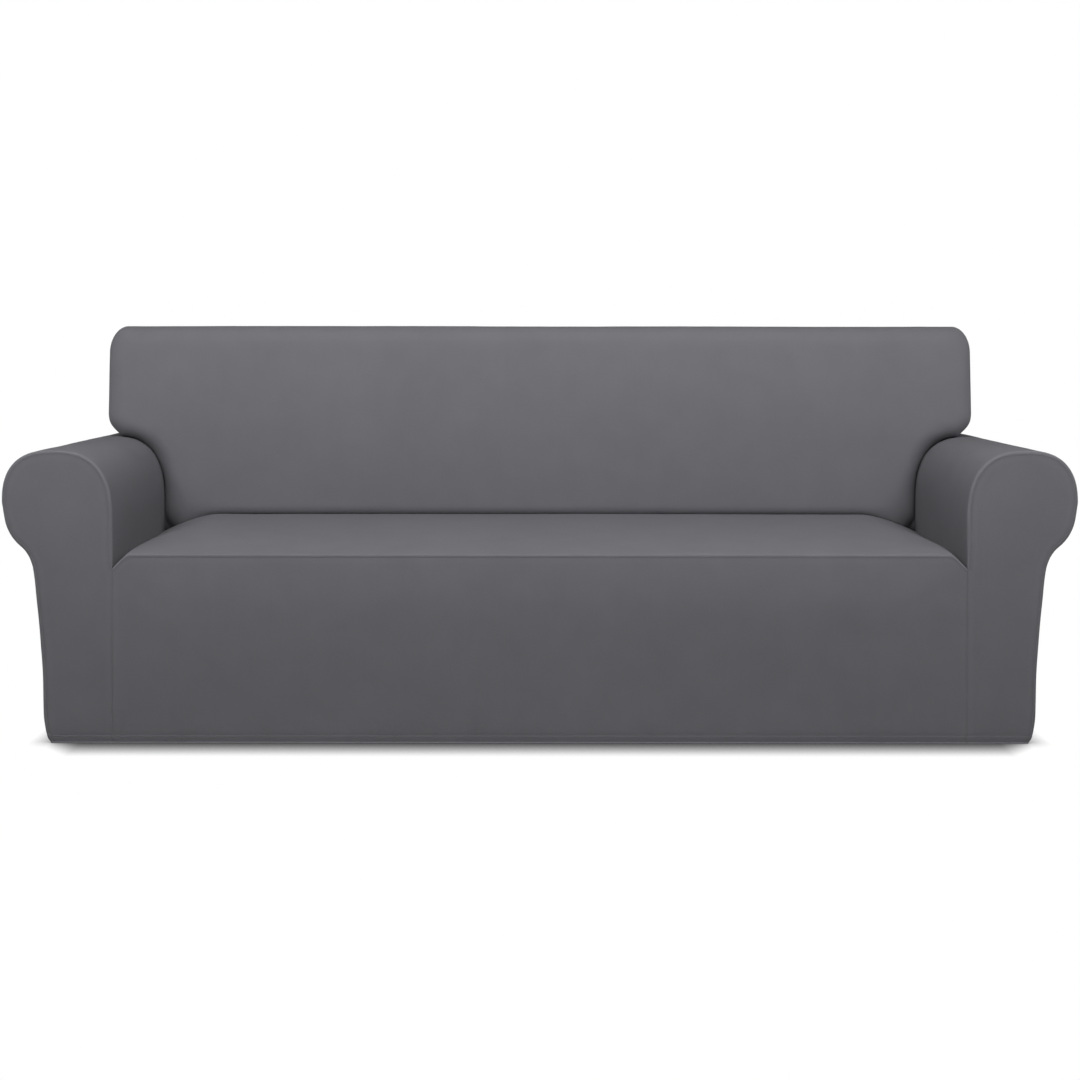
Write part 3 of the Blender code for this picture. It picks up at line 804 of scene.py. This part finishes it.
def outside_back_cloth():
    """The rear panel: base, arm rolls and ears in one outline, inside the rounded rear edges."""
    arm = arm_seam_line(EDGE_ROUND, NOTCH_FADE)[NOTCH:][::-1]
    ear = ear_seam_line()
    heights = np.concatenate((
        HEM_ROWS,
        spaced(HEM_ROWS[-1], INNER_CURVE_Z, REAR_GRID, False, False)[1:],
        spaced(INNER_CURVE_Z, arm[-1, 1], GRID, False, True)[1:],
        spaced(ear[0, 1], ear[-1, 1], GRID),
    ))
    outline = np.concatenate((arm, ear))
    edge = as_points(np.interp(heights, outline[:, 1], outline[:, 0]), heights)
    close = np.array(SEAM_SIDE) / EAR_X
    shares = np.concatenate((close[:-1], np.linspace(close[-1], 2 - close[-1], REAR_COLUMNS)))
    shares = 1 - np.concatenate((shares, 2 - close[-2::-1]))
    x, z = edge[:, :1] * shares, edge[:, 1:]
    points = as_points(x, REAR - drawn_in(z), z)
    outline = np.concatenate((edge, [[0.0, edge[-1, 1]]]))
    spots = as_points(np.abs(x), z)
    to_notch = np.linalg.norm(spots - ARM_LINE[NOTCH], axis=-1) + SHALLOW_TUCK
    patch = Patch(points, as_points(x, z), distance_to(outline, spots), to_notch)
    return sew("outside_back_cloth", [patch])


# Stitches


def hem_loop(z):
    """Line round the whole cover at a height near the hem, and its outward directions."""
    half_x = follow(ARM_OUTSIDE, z) - EDGE_ROUND
    half_y = REAR - drawn_in(z) - EDGE_ROUND
    turns = np.radians(np.linspace(0, 90, HEM_CORNER_STEPS))
    spots, outward = [], []
    for quadrant, (sign_x, sign_y) in enumerate(((1, 1), (-1, 1), (-1, -1), (1, -1))):
        angles = turns + quadrant * math.pi / 2
        out = as_points(np.cos(angles), np.sin(angles))
        spots.append(out * EDGE_ROUND + (sign_x * half_x, sign_y * half_y))
        outward.append(out)
    spots, outward = np.concatenate(spots), np.concatenate(outward)
    spots, outward = (np.concatenate((line, line[:1])) for line in (spots, outward))
    closed = as_points(*spots.T, z)
    outward = as_points(*outward.T, 0.0)
    stations = np.arange(0.0, walked(closed)[-1], PATH_STEP)
    return resampled(closed, stations), read_along(walked(closed), outward, stations)


def facing(line, side):
    """A run of (x, z) points on the front (-1) or rear (1) face, and the directions it faces."""
    x, z = resampled(line, np.arange(0.0, walked(line)[-1], PATH_STEP)).T
    return as_points(x, side * (REAR - drawn_in(z)), z), np.tile((0.0, side, 0.0), (len(x), 1))


def seam_paths():
    """The lines that show as sewn seams, each with the directions in which it faces."""
    scroll = arm_seam_line(ARM_ROUNDS)
    scroll = scroll[scroll[:, 1] > HEM_BAND]
    upright = np.array(((ARM_INSIDE, HEM_BAND), (ARM_INSIDE, TIP_LEVEL)))
    xs = np.linspace(-ARM_INSIDE, ARM_INSIDE, FRONT_SEAM_POINTS)
    seat = as_points(xs, seat_z(xs, 0.0) - SEAT_EDGE_ROUND - SEAM_FLAT - SEAM_GAP / 2)
    rear = arm_seam_line(EDGE_ROUND, NOTCH_FADE)[NOTCH:][::-1]
    rear = np.concatenate((rear[rear[:, 1] > HEM_BAND], ear_seam_line()))
    top = np.stack((rear[-1], rear[-1] * (-1, 1)))
    sides = [(scroll, -1.0), (upright, -1.0), (rear, 1.0)]
    mirrored = [(line * (-1, 1), side) for line, side in sides]
    return [facing(line, side) for line, side in sides + mirrored + [(seat, -1.0), (top, 1.0)]]


def path_object(name, paths, rise):
    """Loose polylines laid on the cloth's surface, which carry their outward directions."""
    starts = np.cumsum([0] + [len(points) for points, _ in paths])
    points = np.concatenate([points for points, _ in paths])
    outward = np.concatenate([outward for _, outward in paths])
    tuck = to_tip(points)
    height = relief(points, np.full(len(points), NO_SEAM), tuck) + rise
    points = points + outward * height[:, None]
    edges = [(k, k + 1) for a, b in zip(starts, starts[1:]) for k in range(a, b - 1)]
    mesh = bpy.data.meshes.new(name)
    mesh.from_pydata(points, edges, [])
    layer = mesh.attributes.new("outward", "FLOAT_VECTOR", "POINT")
    layer.data.foreach_set("vector", outward.astype(np.float32).ravel())
    return add_object(name, mesh)


def feed(tree, node, values):
    """Links a node's inputs to other nodes' outputs, or sets them to numbers."""
    for label, value in values.items():
        if isinstance(value, bpy.types.NodeSocket):
            tree.links.new(value, node.inputs[label])
        else:
            node.inputs[label].default_value = value


def add_node(tree, kind, values=None, **settings):
    """The outputs of a new node, which has its settings and its inputs linked or set."""
    node = tree.nodes.new(kind)
    for name, value in settings.items():
        setattr(node, name, value)
    feed(tree, node, values or {})
    return node.outputs


def compute(tree, operation, *values):
    """A math node on numbers or sockets."""
    return add_node(tree, "ShaderNodeMath", dict(enumerate(values)), operation=operation)[0]


def scaled(tree, vector, scale):
    """A size or colour, or a socket with one, made larger or smaller."""
    values = {0: vector, "Scale": scale}
    return add_node(tree, "ShaderNodeVectorMath", values, operation="SCALE")["Vector"]


def stitch_tree():
    """Geometry nodes that lay short lengths of thread along a path, each a little uneven."""
    tree = bpy.data.node_groups.new("thread_stitches", "GeometryNodeTree")
    kinds = {"Path": "Geometry", **dict.fromkeys(STITCH_INPUTS, "Float")}
    kinds |= {"Seed": "Int", "Thread": "Material"}
    for label, kind in kinds.items():
        tree.interface.new_socket(label, in_out="INPUT", socket_type="NodeSocket" + kind)
    tree.interface.new_socket("Stitches", in_out="OUTPUT", socket_type="NodeSocketGeometry")
    given = add_node(tree, "NodeGroupInput")
    curve = add_node(tree, "GeometryNodeMeshToCurve", {"Mesh": given["Path"]})
    even = add_node(tree, "GeometryNodeResampleCurve", {
        "Curve": curve["Curve"],
        "Length": given["Pitch"],
    }, mode="LENGTH")
    bead = add_node(tree, "GeometryNodeMeshUVSphere", {
        "Segments": BEAD_SEGMENTS,
        "Rings": BEAD_RINGS,
        "Radius": 0.5,
    })
    outward = add_node(tree, "GeometryNodeInputNamedAttribute", {
        "Name": "outward",
    }, data_type="FLOAT_VECTOR")
    turned = add_node(tree, "FunctionNodeAxesToRotation", {
        "Primary Axis": outward["Attribute"],
        "Secondary Axis": add_node(tree, "GeometryNodeInputTangent")["Tangent"],
    }, primary_axis="Z", secondary_axis="X")
    size = add_node(tree, "ShaderNodeCombineXYZ", {
        "X": given["Along"],
        "Y": given["Across"],
        "Z": given["Height"],
    })
    # A random number's own sockets are known by their place, because other kinds share the names
    least, most, drawn = 2, 3, 1
    chance = add_node(tree, "FunctionNodeRandomValue", {
        least: compute(tree, "SUBTRACT", 1.0, given["Uneven"]),
        most: compute(tree, "ADD", 1.0, given["Uneven"]),
        "Seed": given["Seed"],
    }, data_type="FLOAT")
    placed = add_node(tree, "GeometryNodeInstanceOnPoints", {
        "Points": even["Curve"],
        "Instance": bead["Mesh"],
        "Rotation": turned["Rotation"],
        "Scale": scaled(tree, size["Vector"], chance[drawn]),
    })
    real = add_node(tree, "GeometryNodeRealizeInstances", {"Geometry": placed["Instances"]})
    smooth = add_node(tree, "GeometryNodeSetShadeSmooth", {"Geometry": real["Geometry"]})
    dyed = add_node(tree, "GeometryNodeSetMaterial", {
        "Geometry": smooth["Geometry"],
        "Material": given["Thread"],
    })
    feed(tree, tree.nodes.new("NodeGroupOutput"), {"Stitches": dyed["Geometry"]})
    return tree


def lay_stitches(name, paths, rise, tree, values):
    """Runs the stitch nodes on a set of paths and keeps the result as one plain mesh."""
    path = path_object(name + "_path", paths, rise)
    modifier = path.modifiers.new("Stitches", "NODES")
    modifier.node_group = tree
    for socket in tree.interface.items_tree:
        if socket.in_out == "INPUT" and socket.name in values:
            modifier[socket.identifier] = values[socket.name]
    graph = bpy.context.evaluated_depsgraph_get()
    mesh = bpy.data.meshes.new_from_object(path.evaluated_get(graph), depsgraph=graph)
    bpy.data.objects.remove(path)
    mesh.name = name
    stitches = add_object(name, mesh)
    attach(stitches, "root")


def make_stitches(thread):
    """A double row along the hem, and short bars of thread that bridge the stretched seams."""
    tree = stitch_tree()
    rows = [hem_loop(z) for z in HEM_STITCH_ROWS]
    hem = dict(zip(STITCH_INPUTS, HEM_STITCH), Seed=HEM_SEED, Thread=thread)
    lay_stitches("hem_stitches", rows, 0.0, tree, hem)
    bars = dict(zip(STITCH_INPUTS, SEAM_BAR), Seed=BAR_SEED, Thread=thread)
    lay_stitches("seam_bars", seam_paths(), -BAR_SUNK, tree, bars)


# Finishes


def node_group(name, inputs, outputs):
    """An empty shader node group with named inputs and outputs, what it is given and its end."""
    tree = bpy.data.node_groups.new(name, "ShaderNodeTree")
    for label, value in inputs.items():
        kind = "NodeSocketVector" if value is None else "NodeSocketFloat"
        socket = tree.interface.new_socket(label, in_out="INPUT", socket_type=kind)
        if value is not None:
            socket.default_value = value
    for label in outputs:
        tree.interface.new_socket(label, in_out="OUTPUT", socket_type="NodeSocketFloat")
    return tree, add_node(tree, "NodeGroupInput"), tree.nodes.new("NodeGroupOutput")


def lumps(tree, place, name, detail=2.0, stretch=(1.0, 1.0, 1.0)):
    """Noise from about -1 to 1 at a place, in lumps of a named size, stretched along an axis."""
    mapped = add_node(tree, "ShaderNodeMapping", {"Vector": place, "Scale": stretch})
    noise = add_node(tree, "ShaderNodeTexNoise", {
        "Vector": mapped["Vector"],
        "Scale": LUMPS_TO_A_METRE[name],
        "Detail": detail,
    })
    return compute(tree, "MULTIPLY", compute(tree, "SUBTRACT", noise["Fac"], 0.5), LUMP_GAIN)


def bell(tree, value, middle, width):
    """1 where a value is at its middle, and soft to nothing a few widths away."""
    away = compute(tree, "DIVIDE", compute(tree, "SUBTRACT", value, middle), width)
    squared = compute(tree, "MULTIPLY", away, away)
    return compute(tree, "POWER", math.e, compute(tree, "MULTIPLY", squared, -1.0))


def nearness(tree, value, reach):
    """1 where a distance is nothing, and evenly down to 0 at its reach."""
    share = compute(tree, "MINIMUM", 1.0, compute(tree, "DIVIDE", value, reach))
    return compute(tree, "SUBTRACT", 1.0, share)


def knit_relief():
    """Height of the knit: upright wales of small slanted loops, softened by loose fibres."""
    tree, given, made = node_group("knit_relief", {
        "Place": None,
        "Wale": 0.0016,
        "Course": 0.0012,
        "Fuzz": 0.35,
    }, ("Height", "Groove"))
    place = add_node(tree, "ShaderNodeSeparateXYZ", {0: given["Place"]})
    column = compute(tree, "DIVIDE", place["X"], given["Wale"])
    inside = compute(tree, "SUBTRACT", compute(tree, "FRACT", column), 0.5)
    inside = compute(tree, "ABSOLUTE", inside)
    row = compute(tree, "DIVIDE", place["Y"], given["Course"])
    slant = compute(tree, "MULTIPLY_ADD", inside, KNIT_SLANT, row)
    wave = compute(tree, "SINE", compute(tree, "MULTIPLY", slant, math.tau))
    loop = compute(tree, "MULTIPLY_ADD", wave, 0.5, 0.5)
    from_leg = compute(tree, "ABSOLUTE", compute(tree, "SUBTRACT", inside, LEG_AT))
    leg = compute(tree, "POWER", nearness(tree, from_leg, LEG_AT), LEG_POWER)
    looped = compute(tree, "MULTIPLY_ADD", loop, LOOP_SHARE, 1 - LOOP_SHARE)
    yarn = compute(tree, "MULTIPLY", leg, looped)
    fibres = lumps(tree, given["Place"], "fibres")
    feed(tree, made, {
        "Height": compute(tree, "MULTIPLY_ADD", fibres, given["Fuzz"], yarn),
        "Groove": compute(tree, "SUBTRACT", 1.0, yarn),
    })
    return tree


def cloth_tone():
    """How light the cloth is: cloudy, heathered, paler by seams, darker in seams, with painted
    shade in tucks and a painted highlight along the hem's bottom.
    """
    tree, given, made = node_group("cloth_tone", {
        "Place": None,
        "Flat": None,
        "Seam": 1.0,
        "Tuck": 1.0,
        "Clouds": 0.03,
        "Heather": 0.03,
        "Wear": 0.02,
        "Hem highlight": 0.0,
        "Seam shade": 0.04,
        "Tuck shade": 0.85,
    }, ("Tone", "Worn"))
    place, flat = given["Place"], given["Flat"]
    clouds = compute(tree, "ADD", lumps(tree, place, "wide clouds"), lumps(tree, place, "clouds"))
    streaks = lumps(tree, flat, "streaks", 1.0, STREAK_STRETCH)
    flecks = lumps(tree, flat, "heather", 3.0)
    heather = compute(tree, "MULTIPLY_ADD", streaks, STREAK_SHARE, flecks)
    patches = lumps(tree, place, "worn patches")
    patchy = compute(tree, "MULTIPLY_ADD", patches, PATCH_SWING, PATCH_MIDDLE)
    beside_seam = bell(tree, given["Seam"], WORN_AT, WORN_AT / 2)
    worn = compute(tree, "MULTIPLY", beside_seam, patchy)
    height = add_node(tree, "ShaderNodeSeparateXYZ", {0: place})["Z"]
    # painted highlight: the tone is raised in a thin band along the very bottom of the hem
    hem_highlight = bell(tree, height, HEM_BEAD_AT, HEM_STEP)
    in_seam = nearness(tree, given["Seam"], SEAM_WIDTH)
    in_tuck = nearness(tree, given["Tuck"], TUCK_SHADE_REACH)
    in_tuck = compute(tree, "MULTIPLY", in_tuck, in_tuck)
    tone = 1.0
    for effect, strength in (
        (clouds, "Clouds"),
        (heather, "Heather"),
        (worn, "Wear"),
        (hem_highlight, "Hem highlight"),
    ):
        tone = compute(tree, "MULTIPLY_ADD", effect, given[strength], tone)
    for effect, strength in ((in_seam, "Seam shade"), (in_tuck, "Tuck shade")):
        shade = compute(tree, "MULTIPLY", effect, given[strength])
        tone = compute(tree, "SUBTRACT", tone, shade)
    feed(tree, made, {"Tone": tone, "Worn": worn})
    return tree


def attribute(tree, name):
    """A value that a panel's mesh holds at each point."""
    return add_node(tree, "ShaderNodeAttribute", attribute_name=name)["Fac"]


def raised(tree, height, distance):
    """A normal that follows a height."""
    return add_node(tree, "ShaderNodeBump", {"Distance": distance, "Height": height})["Normal"]


def new_material(name):
    """A material, with its node tree, its shader and the places on the piece."""
    material = bpy.data.materials.new(name)
    material.use_nodes = True
    tree = material.node_tree
    place = add_node(tree, "ShaderNodeTexCoord")["Object"]
    return material, tree, tree.nodes["Principled BSDF"], place


def finish_yarn(tree, shader, colour, rough, normal):
    """Gives a shader of matt yarn its colour, its roughness and its relief."""
    feed(tree, shader, {
        "Base Color": colour,
        "Roughness": rough,
        "Normal": normal,
        "Sheen Weight": KNIT_SHEEN,
        "Sheen Roughness": 0.5,
        "Specular IOR Level": SPECULAR,
    })


def cover_knit(relief_group, tone_group):
    """Matt grey stretch knit."""
    material, tree, shader, place = new_material("cover_knit")
    flat = add_node(tree, "ShaderNodeUVMap", uv_map="cloth")["UV"]
    knit = add_node(tree, "ShaderNodeGroup", {"Place": flat}, node_tree=relief_group)
    tone = add_node(tree, "ShaderNodeGroup", {
        "Place": place,
        "Flat": flat,
        "Seam": attribute(tree, "seam"),
        "Tuck": attribute(tree, "tuck"),
        # strength of the painted highlight along the bottom of the hem
        "Hem highlight": 0.50,
    }, node_tree=tone_group)
    shade = compute(tree, "MULTIPLY_ADD", knit["Groove"], -GROOVE_SHADE, tone["Tone"])
    rough = compute(tree, "MULTIPLY_ADD", tone["Worn"], -WORN_SMOOTHER, KNIT_ROUGH)
    rough = compute(tree, "MULTIPLY_ADD", knit["Groove"], GROOVE_ROUGHER, rough)
    colour = scaled(tree, KNIT_COLOUR, shade)
    finish_yarn(tree, shader, colour, rough, raised(tree, knit["Height"], KNIT_HEIGHT))
    return material


def seam_thread(tone_group):
    """Spun thread of the same grey, a little paler, with its twist."""
    material, tree, shader, place = new_material("seam_thread")
    values = {"Place": place, "Flat": place, "Heather": 0.08}
    tone = add_node(tree, "ShaderNodeGroup", values, node_tree=tone_group)
    strands = lumps(tree, place, "strands", 1.0)
    rough = compute(tree, "MULTIPLY_ADD", strands, STRAND_ROUGHER, THREAD_ROUGH)
    colour = scaled(tree, THREAD_COLOUR, tone["Tone"])
    finish_yarn(tree, shader, colour, rough, raised(tree, strands, STRAND_HEIGHT))
    return material


# Panels and sewing, put together


def dress(panel, node, finish):
    """Gives a finished panel its cloth, works out the flat size it was cut from, hangs it on the
    root and hides the frame part it stands for.
    """
    mesh = panel.data
    mesh.materials.append(finish)
    width, length = np.ptp(read(mesh.uv_layers["cloth"].data, "uv", 2), axis=0) / STRETCH
    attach(panel, "root")
    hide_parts(node)


def make_cover():
    """All eight panels and their stitches."""
    tone = cloth_tone()
    knit = cover_knit(knit_relief(), tone)
    panels = {
        "seat_panel": seat_cloth(),
        "front_skirt": skirt_cloth(),
        "arm_right": arm_cloth("arm_cloth_right", False),
        "arm_left": arm_cloth("arm_cloth_left", True),
        "arm_front_right": arm_front_cloth("arm_front_cloth_right", False),
        "arm_front_left": arm_front_cloth("arm_front_cloth_left", True),
        "inside_back": inside_back_cloth(),
        "outside_back": outside_back_cloth(),
    }
    for node, panel in panels.items():
        dress(panel, node, knit)
    make_stitches(seam_thread(tone))


# Stage


def floor_finish():
    """Pale floor: white to the camera but for the shadow at the hem, shorter beside the arms."""
    material, tree, shader, place = new_material("pale_floor")
    feed(tree, shader, {"Base Color": (*FLOOR_BOUNCE, 1.0), "Roughness": 0.9})
    place = add_node(tree, "ShaderNodeSeparateXYZ", {0: place})
    beside = add_node(tree, "ShaderNodeMapRange", {
        "Value": compute(tree, "ABSOLUTE", place["X"]),
        "From Min": SHADOW_SIDE[0],
        "From Max": SHADOW_SIDE[1],
    })["Result"]
    reach, power = (
        compute(tree, "MULTIPLY_ADD", beside, at_side - in_front, in_front)
        for in_front, at_side in (SHADOW_REACH, SHADOW_POWER)
    )
    near = add_node(tree, "ShaderNodeAmbientOcclusion", {"Distance": reach}, samples=SHADOW_SAMPLES)
    seen = add_node(tree, "ShaderNodeEmission", {
        "Strength": compute(tree, "POWER", near["AO"], power),
    })
    mix = add_node(tree, "ShaderNodeMixShader", {
        "Fac": add_node(tree, "ShaderNodeLightPath")["Is Camera Ray"],
        1: shader.outputs["BSDF"],
        2: seen["Emission"],
    })
    feed(tree, tree.nodes["Material Output"], {"Surface": mix["Shader"]})
    return material


def studio_floor():
    """A wide plane a hair under the hem, part of the stage and not of the cover."""
    mesh = bpy.data.meshes.new("floor")
    bm = bmesh.new()
    bmesh.ops.create_grid(bm, x_segments=1, y_segments=1, size=FLOOR_HALF)
    bm.to_mesh(mesh)
    bm.free()
    mesh.materials.append(floor_finish())
    floor = add_object("floor", mesh)
    floor.location.z = -SEAM_GAP


def studio_world():
    """White behind the object, and a weak even light on it from all round."""
    world = bpy.data.worlds.new("studio")
    world.use_nodes = True
    tree = world.node_tree
    to_camera = add_node(tree, "ShaderNodeLightPath")["Is Camera Ray"]
    feed(tree, tree.nodes["Background"], {
        "Color": (1.0, 1.0, 1.0, 1.0),
        "Strength": compute(tree, "MULTIPLY_ADD", to_camera, 1.0 - AMBIENT, AMBIENT),
    })
    bpy.context.scene.world = world


def softbox(name, width, height, spot, aim, watts):
    """A rectangular area light that stands at a spot and faces another."""
    light = bpy.data.lights.new(name, "AREA")
    light.shape = "RECTANGLE"
    light.size, light.size_y = width, height
    light.energy = watts
    lamp = add_object(name, light)
    lamp.location = spot
    lamp.rotation_euler = (Vector(aim) - Vector(spot)).to_track_quat("-Z", "Y").to_euler()
    lamp.visible_camera = False


def front_camera():
    """The photograph's view: level, a little under the back's top, shifted to frame the cover."""
    data = bpy.data.cameras.new("camera")
    data.lens = CAMERA_LENS
    data.shift_y = CAMERA_SHIFT
    camera = add_object("camera", data)
    camera.location = (0.0, FRONT - CAMERA_DISTANCE, CAMERA_HEIGHT)
    camera.rotation_euler = (math.radians(90.0), math.radians(CAMERA_ROLL), 0.0)
    bpy.context.scene.camera = camera


front_camera()
make_cover()
studio_floor()
studio_world()
for name, width, height, spot, aim, watts in SOFTBOXES:
    softbox(name, width, height, spot, aim, watts)
bpy.context.scene.view_settings.view_transform = "Standard"
